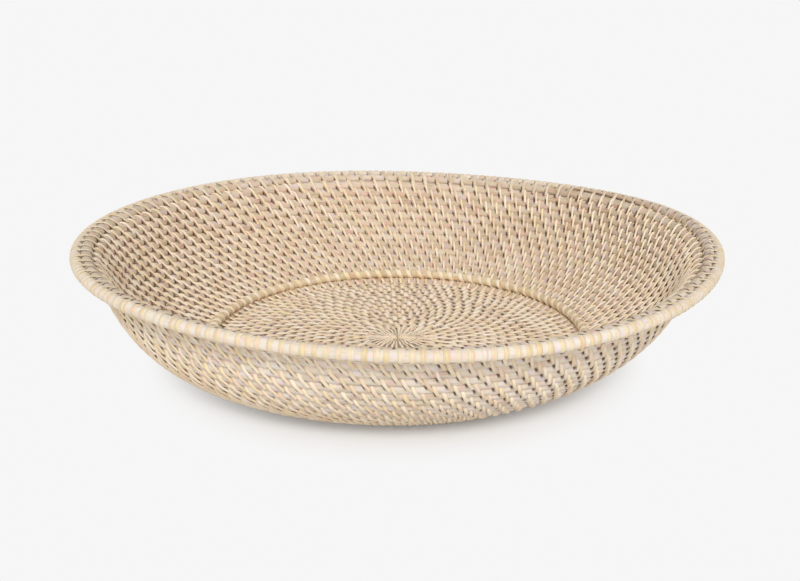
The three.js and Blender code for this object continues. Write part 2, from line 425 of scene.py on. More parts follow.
def cane_turns(from_step, to_step):
    """Where a cane has its sections: close together in the middle, and clear of the slanted cuts."""
    starts_free = from_step == 0
    ends_free = to_step == LAST_STEP
    turns = [0.0 if starts_free else (from_step + 0.5) / STEPS]
    last = END_TURN if ends_free else (to_step + 0.5) / STEPS
    while True:
        r = max(float(row_centre(turns[-1])[0]), FIRST_R)
        gap = min(max(SECTION_SHARE * r, SECTION_MIN), SECTION_MAX)
        if len(turns) == 1 and not starts_free:
            gap = CLEAR_OF_CUT
        step = gap / (TURN * r)
        stop = last - (LAST_SECTION_SHARE * step if ends_free else CLEAR_OF_CUT / (TURN * r))
        if turns[-1] + step >= stop:
            break
        turns.append(turns[-1] + step)
    return np.array(turns + [last])


def slanted_cuts(turns, angle, from_step, to_step):
    """How far each point moves along the coil, so that two canes meet in a slanted cut."""
    shift = np.zeros((len(turns), len(angle)))
    for k, free, side in ((0, from_step == 0, 1), (-1, to_step == LAST_STEP, -1)):
        if not free:
            r = float(row_centre(turns[k])[0])
            shift[k] = (CUT_LENGTH / 2 * np.sin(angle) + side * CUT_GAP / 2) / (TURN * r)
    return shift


def stitches_passed(turn, angle):
    """The stitches of this row and of the next one that a point of the cane has passed."""
    side = np.sign(np.round(np.sin(angle), 6))
    lean = np.where(side > 0, LEAN_IN, LEAN_OUT)
    edge = (STRIP_W / 2 + HOLE_BESIDE) / PITCH_AROUND
    past_crest = np.clip(-np.cos(angle), 0, 1)
    own_share = OWN_SHARE * np.minimum(1 - np.cos(angle), 1) + PAST_CREST_SHARE * past_crest
    next_share = BELOW_SHARE + BELOW_SHARE_MORE * (1 - np.clip(np.cos(angle), 0, 1))
    on_floor = -FLOOR_HOLE_SHIFT * np.sin(angle)
    own = np.where(turn > TOP_START, rim_pairs(turn), stitch_number(turn))
    own = own + np.where(turn < FLOOR_TURN, on_floor, side * (lean * own_share - edge))
    after = np.where(turn > TOP_START - 1, rim_pairs(turn + 1), stitch_number(turn + 1))
    after = after + np.where(turn + 1 < FLOOR_TURN, on_floor, side * (lean * next_share - edge))
    return own, np.where(turn > TOP_START, rim_pairs(turn) - TOP_HOLE_SHIFT, after)


def side_shade_spread(turn, angle):
    """How far the painted shade beside the stitches spreads at the sides, where the light grazes the
    wall, and the mark of the painted shade between the star's strips.
    """
    right = np.cos(turn * TURN)
    inside = SIDE_SHADE_INSIDE + SIDE_SHADE_INSIDE_RIGHT * right
    outside = SIDE_SHADE_OUTSIDE + SIDE_SHADE_OUTSIDE_RIGHT * right
    most = np.where(np.round(np.sin(angle), 6) > 0, inside, outside)
    on_wall = (turn > FLOOR_TURN + 1) * (turn < TOP_START)
    return np.minimum(right**2 * most, SIDE_SHADE_MOST) * on_wall + STAR_MARK * (turn < STAR_TURNS)


def cane_mesh(name, from_step, to_step, tone):
    """One cane of the coil. angle 0 points to the next row, and a quarter turn on to the inside."""
    turns = cane_turns(from_step, to_step)
    angles = np.arange(CANE_SIDES) * TURN / CANE_SIDES
    turn, angle = np.meshgrid(turns, angles, indexing="ij")
    turn = turn + slanted_cuts(turns, angles, from_step, to_step)
    r, z = row_centre(turn)
    slope = row_slope(turn)
    thick = row_radius(turn)
    wide = thick * CANE_WIDE / CANE
    cos, sin = np.cos(angle), np.sin(angle)
    ahead = wide * np.sign(cos) * np.abs(cos) ** CANE_SQUARENESS
    inward = thick * np.sign(sin) * np.abs(sin) ** CANE_SQUARENESS
    point_r = r + ahead * np.cos(slope) - inward * np.sin(slope)
    point_z = z + ahead * np.sin(slope) + inward * np.cos(slope)
    points = to_space(point_r, point_z, turn * TURN)
    centre_r = row_centre(turns)[0]
    run = added_up(np.hypot(np.diff(centre_r), TURN * centre_r[1:] * np.diff(turns)))
    run = np.repeat(run[:, None], CANE_SIDES, 1)
    grain = np.stack([run + GRAIN_APART * tone, CANE * cos, CANE * sin], -1)
    shaded_holes = np.stack([*stitches_passed(turn, angle), side_shade_spread(turn, angle)], -1)
    return cane_solid(name, points, grain, tone, shaded_holes)


def split_steps(from_step, to_step, count):
    """The steps where a run of the coil is cut, so that its canes are equally long."""
    steps = np.arange(from_step, to_step + 1)
    r, z = profile_point(np.clip(even_along(steps / STEPS), 0, LENGTH))
    points = to_space(r, z, steps / STEPS * TURN)
    lengths = added_up(np.linalg.norm(np.diff(points, axis=0), axis=1))
    marks = [from_step]
    for i in range(1, count):
        marks.append(from_step + int(np.argmax(lengths >= lengths[-1] * i / count - 1e-6)))
    return marks + [to_step]


def make_canes(part, from_step, to_step, count, material):
    marks = split_steps(from_step, to_step, count)
    for i in range(count):
        piece = cane_mesh(f"{part}_cane_{i + 1}", marks[i], marks[i + 1], float(rng.random()))
        finish_piece(piece, material, [f"{part}_rod_{i + 1}"])


# The hoop and the ring

def closed_azimuths(r, cut_length, count):
    """The azimuths of a bent cane's sections, with none inside the cut that closes it."""
    azimuth = 0.5 / STEPS * TURN + np.linspace(0, TURN, count + 1)
    near = int(cut_length / 2 / (TURN * r / count)) + 1
    keep = np.ones(count + 1, bool)
    keep[1:near + 1] = False
    keep[count - near:count] = False
    return azimuth[keep]


def hoop_mesh(name, r, z, thick, cut_length, count, tone, windings):
    """A cane bent into a circle. windings counts what is wound on it, after a number of turns."""
    azimuths = closed_azimuths(r, cut_length, count)
    angles = np.arange(HOOP_SIDES) * TURN / HOOP_SIDES
    azimuth, angle = np.meshgrid(azimuths, angles, indexing="ij")
    for k, side in ((0, 1), (-1, -1)):
        azimuth[k] += (cut_length / 2 * np.sin(angles) + side * CUT_GAP / 2) / r
    swayed_r = r + WANDER_HOOP * wander(azimuth / TURN, 5)
    swayed_z = z + sway(z, azimuth)
    cos, sin = thick * np.cos(angle), thick * np.sin(angle)
    points = to_space(swayed_r + cos, swayed_z + sin, azimuth)
    grain = np.stack([azimuth * r, cos, sin], -1)
    number = windings(azimuth / TURN)
    shaded_holes = np.stack([number, number, 0 * number], -1)
    return cane_solid(name, points, grain, tone, shaded_holes)


def rim_hoop_windings(turn):
    return rim_pairs(turn + math.floor(END_TURN)) - HOOP_HOLE_SHIFT


def ring_windings(turn):
    return turn * RING_WINDINGS - 0.5 - RING_HOLE_SHIFT


def place_on_wall(along, lift):
    """Radius and height of a place that stands off the profile, and the profile's slope there."""
    r, z = profile_point(along)
    slope = float(profile_slope(along - ROD, along + ROD))
    return float(r) - lift * math.sin(slope), float(z) + lift * math.cos(slope), slope


RING_R, RING_Z, RING_SLOPE = place_on_wall(RING_ALONG, FLOOR_Z + SEAT_GAP + RING_SEAT)

# Strips

# Half a flat oval: across the strip, as a share of its width, and up, as a share of its thickness
SECTION = np.array([(-0.5, 0.0), (-0.42, 0.6), (0.0, 1.0), (0.42, 0.6), (0.5, 0.0)])

# Each strip's grain begins at a place of its own
GRAIN_ALONG, GRAIN_ALONG_PERIOD = 37.0, 4000
GRAIN_ACROSS, GRAIN_ACROSS_PERIOD = 11.0, 97


def unit(vectors):
    return vectors / np.linalg.norm(vectors, axis=-1, keepdims=True)


def strip_ways(centres, outs, closed):
    """The ways across and out of strips at each of their points."""
    if closed:
        ahead = np.roll(centres, -1, 1)
        behind = np.roll(centres, 1, 1)
    else:
        ahead = np.concatenate([centres[:, 1:], centres[:, -1:]], 1)
        behind = np.concatenate([centres[:, :1], centres[:, :-1]], 1)
    along = unit(ahead - behind)
    outs = unit(outs - along * np.sum(outs * along, -1, keepdims=True))
    return np.cross(along, outs), outs


def strip_solids(name, centres, outs, widths, thick, tones, closed=False):
    """Strips in one mesh, each lying outwards on its path. centres and outs: strips x points x 3."""
    count, points = centres.shape[:2]
    sides = len(SECTION)
    across, outs = strip_ways(centres, outs, closed)
    widths, thick, tones = (np.broadcast_to(a, (count, points)) for a in (widths, thick, tones))
    aside = widths[..., None, None] * SECTION[None, None, :, :1]
    up = thick[..., None, None] * SECTION[None, None, :, 1:]
    verts = centres[:, :, None] + across[:, :, None] * aside + outs[:, :, None] * up
    steps = np.linalg.norm(np.diff(centres, axis=1), axis=-1)
    run = np.concatenate([np.zeros((count, 1)), np.cumsum(steps, 1)], 1)
    strip = np.arange(count)[:, None, None]
    grain = np.zeros((count, points, sides, 3))
    grain[..., 0] = run[:, :, None] + GRAIN_ALONG * strip % GRAIN_ALONG_PERIOD
    grain[..., 1] = aside[..., 0] + GRAIN_ACROSS * (strip % GRAIN_ACROSS_PERIOD)
    grain[..., 2] = up[..., 0]
    quads, tris = tube_faces(points, sides, closed)
    first = strip * points * sides
    quads = (quads[None] + first).reshape(-1, 4)
    tris = (tris[None] + first).reshape(-1, 3)
    return make_mesh(name, verts.reshape(-1, 3), quads, tris, grain, np.repeat(tones, sides, 1), sharp=70)


# Stitches of the floor and the wall

# A stitch has an inner and an outer half, with the crest of its row between them. Each half goes
# deep into the row below, through a mouth there, and round its own row in shares of a swing.
IN, CREST, OUT = -1, 0, 1
SWINGS = np.array([109, 82, 55, 27]) / 109.0
STITCH_PLACES = [(IN, "deep"), (IN, "mouth")] + [(IN, swing) for swing in SWINGS] + [(CREST, 0)]
STITCH_PLACES += [(OUT, swing) for swing in SWINGS[::-1]] + [(OUT, "mouth"), (OUT, "deep")]

# The strip's width at each of those places, as a share of its own
TAPER = np.array([0.75, 0.85, 1, 1, 1, 1, 1.05, 1.15, 1.2, 1.2, 1.2, 1.1, 0.9])

# How much of its lean a stitch has reached there. It loses some of it on the wall.
LEAN_SHARES = {"deep": 1.06, "mouth": 0.92}
SWING_LEAN, SWING_LEAN_LOSS = 0.60, 0.15

# Where on the row below it goes in, in degrees from the way to the next row
FLOOR_BITE = 74
WALL_BITE = {IN: 88, CREST: FLOOR_BITE, OUT: 78}
DEEP_SHARE, DEEP_ANGLE_SHARE = 0.55, 0.8
TILT_IN_MOUTH, MOUTH_SIZE = 0.35, 1.08
STRIP_CLEARANCE = 0.02

# The small differences of hand work: in lean, in where it goes in, along the row, off the row
# and in width
LEAN_SPREAD, BITE_SPREAD, PLACE_SPREAD, LIFT_MOST, WIDTH_SPREAD = 0.06, 6, 0.05, 0.12, (0.84, 1.16)


class Rows:
    """A row and the row below at some places, with the ways between them and to one side."""

    def __init__(self, turn, side):
        self.here = np.stack(row_centre(turn), -1)
        self.below = np.stack(row_centre(turn - 1), -1)
        way = self.here - self.below
        self.gap = np.linalg.norm(way, axis=-1)
        self.ahead = way / self.gap[:, None]
        self.aside = np.stack([-self.ahead[:, 1], self.ahead[:, 0]], -1) * (-side if side else 1)
        self.radius = row_radius(turn)
        self.radius_below = row_radius(turn - 1)

    def around(self, centre, wide, thick, angle):
        """Places round a centre, on an oval."""
        place = centre + (wide * np.cos(angle))[:, None] * self.ahead
        return place + (thick * np.sin(angle))[:, None] * self.aside

    def in_row_below(self, place, bite):
        """Where a stitch lies in the row below, and the way out of its path there."""
        deep = place == "deep"
        reach = self.radius_below * DEEP_SHARE if deep else self.radius_below + STRIP_CLEARANCE
        angle = bite * DEEP_ANGLE_SHARE if deep else bite
        out = np.cos(angle)[:, None] * self.ahead * -TILT_IN_MOUTH + self.aside
        return self.around(self.below, reach, reach, angle), out

    def round_own_row(self, swing, bite, lift):
        """Where a stitch lies on its own row. At a full swing it leaves it for the row below."""
        thick = self.radius + STRIP_CLEARANCE + lift
        wide = thick * CANE_WIDE / CANE
        to_mouth = self.radius_below * MOUTH_SIZE * np.cos(bite) - self.gap
        off_mouth = self.radius_below * np.sin(bite)
        far = np.hypot(to_mouth, off_mouth)
        leaves = np.arctan2(off_mouth, to_mouth) - np.arccos(np.clip(thick / far, -1, 1))
        angle = leaves * swing
        out = np.cos(angle)[:, None] * self.ahead + np.sin(angle)[:, None] * self.aside
        return self.around(self.here, wide, thick, angle), out


def stitch_paths(turns, gaps):
    """The way of each stitch: out of the row below, round its own row, and back into the row below."""
    count = len(turns)
    on_wall = ramp(turns, FLOOR_TURN, FLOOR_TURN + FLOOR_TO_WALL)
    lean_in = FLOOR_LEAN + (LEAN_IN - FLOOR_LEAN) * on_wall
    lean_in = lean_in + rng.uniform(-LEAN_SPREAD, LEAN_SPREAD, count)
    lean_out = LEAN_OUT + rng.uniform(-LEAN_SPREAD, LEAN_SPREAD, count)
    lean = {IN: lean_in, CREST: 0.0, OUT: lean_out}
    bend = rng.uniform(-BITE_SPREAD, BITE_SPREAD, count)
    moved = turns + gaps * rng.uniform(-PLACE_SPREAD, PLACE_SPREAD, count)
    lift = rng.uniform(0.0, LIFT_MOST, count)
    points, outs = [], []
    for side, place in STITCH_PLACES:
        below = isinstance(place, str)
        share = LEAN_SHARES[place] if below else place * (SWING_LEAN - SWING_LEAN_LOSS * on_wall)
        bite = np.radians(FLOOR_BITE + (WALL_BITE[side] - FLOOR_BITE) * on_wall + bend)
        turn = moved + side * lean[side] * share * gaps
        rows = Rows(turn, side)
        point, out = rows.in_row_below(place, bite) if below else rows.round_own_row(place, bite, lift)
        points.append(to_space(point[:, 0], point[:, 1], turn * TURN))
        outs.append(to_space(out[:, 0], out[:, 1], turn * TURN))
    return np.stack(points, 1), np.stack(outs, 1)


def stitches(name, start, stop):
    turns, gaps = stitch_turns(start, stop)
    centres, outs = stitch_paths(turns, gaps)
    apart = TURN * row_centre(turns)[0] * gaps
    on_floor = FLOOR_STRIP_SHARE * apart + FLOOR_STRIP_MORE
    on_floor = np.clip(on_floor, FLOOR_STRIP_MIN, FLOOR_STRIP_MAX)[:, None]
    on_wall = ramp(turns, FLOOR_TURN, FLOOR_TURN + FLOOR_TO_WALL)[:, None]
    width = on_floor + (STRIP_W * TAPER - on_floor) * on_wall
    width = width * rng.uniform(*WIDTH_SPREAD, (len(turns), 1))
    thick = FLOOR_STRIP_T + (STRIP_T - FLOOR_STRIP_T) * on_wall
    return strip_solids(name, centres, outs, width, thick, rng.random((len(turns), 1)))


# The rim lashing

# Where a winding begins, at the outer lower side, as an angle round the hoop
RIM_BEGIN = math.radians(285)
RIM_POINTS = 26
HULL_WAYS = 720

# A winding lies straight on top, goes aside on its way down inside, and forward underneath. Each
# of these is a span of the angle in which the strip faces.
TOP_TO_BITE = np.radians([98, 190])
UNDERNEATH = np.radians([200, 285])
INSIDE = np.radians([70, 130])
INNER_DRIFT, HOOP_ONLY_DRIFT = -0.74, 0.1
RIM_NUDGE, RIM_WIDTH_SPREAD = 0.17, (0.84, 1.2)

# Inside, the windings that pass round the top row are narrower, and those between are wider
NARROWER_INSIDE, WIDER_INSIDE = -0.9, 1.6
SMOOTHED_OVER = 7

# A tone of 0 is the yellowest peel and 1 the dullest
OUTER_TONES, INNER_TONES, INNER_TONES_FROM = 0.5, 0.4, 0.5
# At the left the inside windings are painted paler and more even: painted light for the part of the rim
# that the lamps light less
LEFT_PAINTED_LIGHT, LEFT_EVENER = 0.3, 0.5

# How large the rows are to a winding. It bites into the row below at a share of the way to the
# top row, and passes round all of it where the tip of the cane is thin.
OFF_ROW, BITE_SIZE, BITE_SHARE = 1.1, 0.9, 0.1
ROUND_ROW_BELOW_FROM = THIN_FROM + 0.03


def hull_path(circles, count, begin):
    """Points and outward ways round a belt over circles (r, z, radius), evenly spaced."""
    angles = begin + np.linspace(0, TURN, HULL_WAYS, endpoint=False)
    ways = np.stack([np.cos(angles), np.sin(angles)], -1)
    circles = np.array(circles)
    furthest = np.argmax(ways @ circles[:, :2].T + circles[:, 2], axis=1)
    points = circles[furthest, :2] + circles[furthest, 2:] * ways
    run = added_up(np.linalg.norm(np.roll(points, -1, 0) - points, axis=1))
    marks = np.arange(count) / count * run[-1]
    both = np.concatenate([points, ways], 1)
    both = np.concatenate([both, both[:1]])
    spaced = np.stack([np.interp(marks, run, column) for column in both.T], -1)
    return spaced[:, :2], unit(spaced[:, 2:])


def rim_circles(turn, round_row):
    """What a winding is laid round: the hoop, and the top row with the upper part of the row below."""
    rise = float(sway(HOOP_Z, turn * TURN))
    circles = [(HOOP_R, HOOP_Z + rise, HOOP_CANE + STRIP_CLEARANCE)]
    if round_row:
        top = np.array(row_centre(turn))
        low = np.array(row_centre(turn - 1))
        if turn > ROUND_ROW_BELOW_FROM:
            circles.append((*low, CANE * OFF_ROW))
        circles.append((*top, float(row_radius(turn)) * OFF_ROW))
        circles.append((*(low + BITE_SHARE * (top - low)), CANE * BITE_SIZE))
    return circles


def winding_azimuths(turn, points, facing, drift, nudge, next_nudge):
    """How a winding moves round the rim, from where it begins to the next winding."""
    run = added_up(np.linalg.norm(np.diff(points, axis=0), axis=1))
    leaves, bites = np.interp(TOP_TO_BITE, facing, run)
    down = ramp(run, leaves, bites)
    forward = eased(facing, *UNDERNEATH)
    wobble = nudge + (next_nudge - nudge) * forward
    return (turn + (drift * down + (1 - drift) * forward + wobble) / RIM_WINDINGS) * TURN


def rim_widths(round_row, inside):
    spread = np.where(round_row, NARROWER_INSIDE, WIDER_INSIDE)[:, None]
    width = (RIM_STRIP_W + spread * inside) * rng.uniform(*RIM_WIDTH_SPREAD, (RIM_WINDINGS, 1))
    width = np.pad(width.ravel(), SMOOTHED_OVER // 2, mode="wrap")
    return np.convolve(width, np.ones(SMOOTHED_OVER) / SMOOTHED_OVER, "valid")


def rim_tones(azimuth, inside):
    """Yellower peel outside and the duller tones inside; at the left of the basket the inside is painted
    paler and more even, as painted light.
    """
    left = np.clip(np.cos(azimuth - LEFT_AZIMUTH), 0, 1)
    outer = OUTER_TONES * rng.random((RIM_WINDINGS, 1))
    inner = INNER_TONES * (1 - LEFT_EVENER * left) * rng.random((RIM_WINDINGS, 1))
    inner = INNER_TONES_FROM - LEFT_PAINTED_LIGHT * left + inner
    return outer * (1 - inside) + inner * inside


def rim_lashing():
    """One endless strip. Every second winding passes round the top row as well as the hoop."""
    nudge = rng.uniform(-RIM_NUDGE, RIM_NUDGE, RIM_WINDINGS + 1)
    nudge[-1] = nudge[0]
    round_row = np.arange(RIM_WINDINGS) % 2 == 0
    windings = []
    for i in range(RIM_WINDINGS):
        turn = TOP_START + (i + 0.5) / RIM_WINDINGS
        points, ways = hull_path(rim_circles(turn, round_row[i]), RIM_POINTS, RIM_BEGIN)
        facing = np.unwrap(np.arctan2(ways[:, 1], ways[:, 0]))
        facing += RIM_BEGIN - TURN - facing[0]
        drift = INNER_DRIFT if round_row[i] else HOOP_ONLY_DRIFT
        azimuth = winding_azimuths(turn, points, facing, drift, nudge[i], nudge[i + 1])
        windings.append((points, ways, azimuth, eased(facing, *INSIDE)))
    points, ways, azimuth, inside = (np.array(values) for values in zip(*windings))
    centres = to_space(points[..., 0], points[..., 1], azimuth).reshape(1, -1, 3)
    outs = to_space(ways[..., 0], ways[..., 1], azimuth).reshape(1, -1, 3)
    width = rim_widths(round_row, inside)
    tone = rim_tones(azimuth, inside)
    return strip_solids("rim_strips", centres, outs, width, RIM_STRIP_T, tone.ravel(), closed=True)


# The ring's strips and the star. A strip's drift is a share of the way to the next strip.

RING_NUDGE, RING_DRIFT, RING_WIDTH_SPREAD = 0.06, 0.7, (0.86, 1.14)
RING_STRIP_ENDS = (-60, 240)
RING_STRIP_LIFT, RING_END_REACH = 0.03, 2.0
STAR_NUDGE, STAR_LEAN, STAR_WIDTH_SPREAD = 0.12, 0.10, (0.75, 1.2)
STAR_LOWEST, STAR_STRIP_LIFT, STAR_OVER_CANE = 2.4, 0.05, 0.4
STAR_HOLE, STAR_RISEN, STAR_FALL = 1.3, 3.0, 1.4
STAR_END_HEIGHT, STAR_END_LENGTH, STAR_END_TILT = 0.3, 0.3, 0.3


def ring_lashing():
    """Strips round the ring, open underneath, where their ends go into the wall."""
    count, points = RING_WINDINGS, 13
    nudge = rng.uniform(-RING_NUDGE, RING_NUDGE, count)
    azimuths = (np.arange(count) + 0.5 + nudge) * TURN / count
    angle = np.radians(np.linspace(*RING_STRIP_ENDS, points)) + RING_SLOPE
    radius = np.full(points, RING_CANE + RING_STRIP_LIFT)
    radius[0] = radius[-1] = RING_CANE + RING_END_REACH
    drift = (0.5 - np.arange(points) / (points - 1)) * RING_DRIFT * TURN / count
    azimuth = azimuths[:, None] + drift
    height = RING_Z + sway(RING_Z, azimuth) + radius * np.sin(angle)
    centres = to_space(RING_R + radius * np.cos(angle), height, azimuth)
    outs = to_space(np.cos(angle), np.sin(angle), azimuth)
    width = RING_STRIP_W * rng.uniform(*RING_WIDTH_SPREAD, (count, 1))
    tone = 0.3 + 0.7 * rng.random((count, 1))
    return strip_solids("ring_strips", centres, outs, width, RING_STRIP_T, tone)


def star_height(radii, azimuth):
    """How far a star's strip lies above or below the middle of the floor."""
    turn = (radii - FIRST_R) / PITCH
    turn = np.round(turn - azimuth / TURN) + azimuth / TURN
    centre_r = row_centre(np.clip(turn, 0, None))[0]
    off = np.clip(np.abs(radii - centre_r) / (CANE + STAR_OVER_CANE), 0, 1)
    return np.maximum(CANE * np.sqrt(1 - off * off), STAR_LOWEST) + STAR_STRIP_LIFT


def star_strips():
    """Strips from the middle of the floor over the first turns, above and below."""
    inner_end, outer_end = ([r, r + STAR_END_LENGTH] for r in (STAR_HOLE, STAR_R))
    radii = np.concatenate([inner_end, np.linspace(STAR_RISEN, STAR_R - STAR_FALL, 13), outer_end])
    count, points = 2 * STAR_ARMS, len(radii)
    middle = FLOOR_Z + FLOOR_LIFT
    room = TURN * radii / STAR_ARMS * STAR_STRIP_SHARE
    centres = np.zeros((count, points, 3))
    outs = np.zeros((count, points, 3))
    width = np.zeros((count, points))
    for i in range(count):
        upper = 1 if i < STAR_ARMS else -1
        azimuth = (i % STAR_ARMS + 0.5 + STAR_NUDGE * rng.uniform(-1, 1)) * TURN / STAR_ARMS
        height = star_height(radii, azimuth)
        height[0] = height[-1] = STAR_END_HEIGHT
        leaning = azimuth + STAR_LEAN * (radii / STAR_R) * upper
        centres[i] = to_space(radii, middle + upper * height, leaning)
        outs[i, :, 2] = upper
        for k, outward in ((0, -1), (-1, 1)):
            outs[i, k] = to_space(outward, upper * STAR_END_TILT, azimuth)
        width[i] = np.minimum(STAR_STRIP_W, room) * rng.uniform(*STAR_WIDTH_SPREAD)
    return strip_solids("star_strips", centres, outs, width, STAR_STRIP_T, rng.random((count, 1)))


# Materials

def linear(*colour):
    """A colour that is written in the usual 0 to 255."""
    shares = [value / 255 for value in colour]
    return (*(s / 12.92 if s <= 0.04045 else ((s + 0.055) / 1.055) ** 2.4 for s in shares), 1.0)


def grey(value):
    return (value, value, value, 1.0)


# Noise lies mostly between these
NOISE_ENDS = (0.3, 0.7)

# A little pinker, plain, greener and bluer, for soft light
HUES = ((0.36, (0.62, 0.42, 0.48, 1)), (0.46, (0.55, 0.49, 0.40, 1)),
        (0.54, (0.45, 0.55, 0.42, 1)), (0.62, (0.52, 0.46, 0.64, 1)))

# Which count of stitches a patch of painted shade follows, and on which side of the cane it lies
ROW_WAYS = (("X", -1), ("Y", 1))
HOOP_WAYS = (("X", -1),)


class Nodes:
    """The node tree of a material or world, with short ways to add to it."""

    def __init__(self, owner, output):
        self.owner = owner
        owner.use_nodes = True
        self.tree = owner.node_tree
        self.tree.nodes.clear()
        self.out = self.add(output)

    def feed(self, socket, value):
        """Links another node's output to a socket, or sets the socket's own value."""
        if isinstance(value, bpy.types.NodeSocket):
            self.tree.links.new(value, socket)
        else:
            socket.default_value = value

    def add(self, kind, inputs=(), **settings):
        node = self.tree.nodes.new(kind)
        for key, value in settings.items():
            setattr(node, key, value)
        for key, value in dict(inputs).items():
            self.feed(node.inputs[key], value)
        return node

    def finish(self, surface):
        self.feed(self.out.inputs["Surface"], surface)
        return self.owner

    def attribute(self, name, output="Vector"):
        node = self.add("ShaderNodeAttribute", attribute_name=name, attribute_type="GEOMETRY")
        return node.outputs[output]

    def split(self, vector):
        return self.add("ShaderNodeSeparateXYZ", {"Vector": vector}).outputs

    def stretched(self, vector, scale):
        values = {"Vector": vector, "Scale": scale}
        return self.add("ShaderNodeMapping", values, vector_type="POINT").outputs["Vector"]

    def noise(self, vector, scale, detail):
        values = {"Vector": vector, "Scale": scale, "Detail": detail, "Roughness": 0.55}
        return self.add("ShaderNodeTexNoise", values).outputs["Fac"]

    def ramp(self, fac, stops):
        node = self.add("ShaderNodeValToRGB", {"Fac": fac})
        elements = node.color_ramp.elements
        while len(elements) < len(stops):
            elements.new(0.5)
        for element, (place, colour) in zip(elements, stops):
            element.position = place
            element.color = colour
        return node.outputs["Color"]

    def mix(self, kind, fac, a, b):
        node = self.add("ShaderNodeMix", data_type="RGBA", blend_type=kind)
        for name, value in (("Factor", fac), ("A", a), ("B", b)):
            self.feed(next(s for s in node.inputs if s.name == name and s.enabled), value)
        return next(s for s in node.outputs if s.enabled)

    def map_range(self, value, ends, to=(0.0, 1.0), how="LINEAR"):
        """What lies between the two ends, spread between the two of to."""
        names = ("Value", "From Min", "From Max", "To Min", "To Max")
        values = zip(names, (value, *ends, *to))
        return self.add("ShaderNodeMapRange", values, interpolation_type=how).outputs["Result"]

    def between(self, value, low, high):
        """0 at low, 1 at high, eased."""
        return self.map_range(value, (low, high), how="SMOOTHSTEP")

    def math(self, kind, *values):
        return self.add("ShaderNodeMath", enumerate(values), operation=kind).outputs["Value"]

    def mix_shader(self, fac, first, second):
        return self.add("ShaderNodeMixShader", enumerate((fac, first, second))).outputs["Shader"]

    def painted_hole_shade(self, side, ways, half, soft, shade_strength, low, high):
        """Painted shade beside the stitches, where the holes between the rows lie in shadow, and between
        the star's strips.

        half and soft are shares of the way to the next stitch, low and high of the cane's side.
        """
        counts = self.split(self.attribute("shaded_holes"))
        found = None
        for axis, way in ways:
            place = self.math("FRACT", self.math("ADD", counts[axis], 0.5))
            away = self.math("ABSOLUTE", self.math("SUBTRACT", place, 0.5))
            away = self.math("SUBTRACT", away, self.math("MULTIPLY", counts["Z"], SHADE_WIDENING))
            near = self.between(away, half + soft, half - soft)
            facing = self.between(side, way * low * CANE, way * high * CANE)
            both = self.math("MULTIPLY", near, facing)
            found = both if found is None else self.math("MAXIMUM", found, both)
        found = self.math("MAXIMUM", found, self.between(counts["Z"], STAR_LIGHT, STAR_DARK))
        return self.math("MULTIPLY", found, shade_strength)

    def hues(self, colour, grain, fac):
        """Patches that are a little pinker, greener or bluer than the rest."""
        noise = self.noise(self.stretched(grain, (0.09, 0.3, 0.3)), 1.3, 3.0)
        return self.mix("SOFT_LIGHT", fac, colour, self.ramp(noise, HUES))

    def shaded(self, colour, noise, fac, dark, light):
        """Patches that are darker and lighter than the rest."""
        stops = list(zip(NOISE_ENDS, (grey(dark), grey(light))))
        return self.mix("SOFT_LIGHT", fac, colour, self.ramp(noise, stops))

    def surface(self, colour, rough, height, distance, strength):
        bump = self.add("ShaderNodeBump", {"Distance": distance, "Strength": strength, "Height": height})
        shader = self.add("ShaderNodeBsdfPrincipled", {
            "Base Color": colour, "Roughness": rough, "Specular IOR Level": 0.3,
            "Normal": bump.outputs["Normal"]})
        return self.finish(shader.outputs["BSDF"])


def material_nodes(name):
    return Nodes(bpy.data.materials.new(name), "ShaderNodeOutputMaterial")


def cane_material(name, inside, outside, ways, hole_shade, deep):
    """Peeled cane under a thin brushed wash. inside and outside: wash, wood and dark grain. hole and
    deep: where shade is painted beside the stitches, and the colour of that painted shade.
    """
    n = material_nodes(name)
    grain = n.attribute("grain")
    place = n.split(grain)
    fibres = n.noise(n.stretched(grain, (0.035, 1.0, 1.0)), 2.2, 4.0)
    patches = n.noise(n.stretched(grain, (0.12, 0.35, 0.35)), 0.6, 3.0)
    long_patches = n.noise(n.stretched(grain, (0.01, 0.05, 0.05)), 1.0, 2.0)
    colours = []
    for tones in (inside, outside):
        wash, wood, dark = (linear(*tone) for tone in tones)
        bare = n.ramp(fibres, [(0.30, dark), (0.48, wood), (0.75, wood)])
        amount = n.ramp(patches, [(0.30, grey(0.0)), (0.72, grey(1.0))])
        colours.append(n.mix("MIX", amount, bare, wash))
    outer = n.between(place["Z"], 1.2, -1.2)
    colour = n.mix("MIX", outer, colours[0], colours[1])
    colour = n.shaded(colour, long_patches, 0.35, 0.25, 0.8)
    colour = n.hues(colour, grain, 1.0)
    # Painted shade: dark brown beside the stitches, where the holes between the rows lie in shadow
    colour = n.mix("MIX", n.painted_hole_shade(place["Y"], ways, **hole_shade), colour, linear(*deep))
    rough = n.map_range(fibres, NOISE_ENDS, (0.78, 0.58))
    return n.surface(colour, rough, fibres, 0.0002, 0.5)


def strip_material(name, stops, dark):
    """Split cane with its smooth peel outside."""
    n = material_nodes(name)
    grain = n.attribute("grain")
    fibres = n.noise(n.stretched(grain, (0.05, 1.6, 0.4)), 2.6, 4.0)
    patches = n.noise(n.stretched(grain, (0.2, 0.5, 0.5)), 0.7, 2.0)
    stops = [(place, linear(*tone)) for place, tone in stops]
    colour = n.ramp(n.attribute("tone", "Fac"), stops)
    darker = n.map_range(fibres, NOISE_ENDS, (0.55, 0.0))
    colour = n.mix("MULTIPLY", darker, colour, linear(*dark))
    colour = n.shaded(colour, patches, 0.4, 0.3, 0.75)
    colour = n.hues(colour, grain, 0.8)
    rough = n.map_range(patches, NOISE_ENDS, (0.5, 0.38))
    return n.surface(colour, rough, fibres, 0.00012, 0.4)


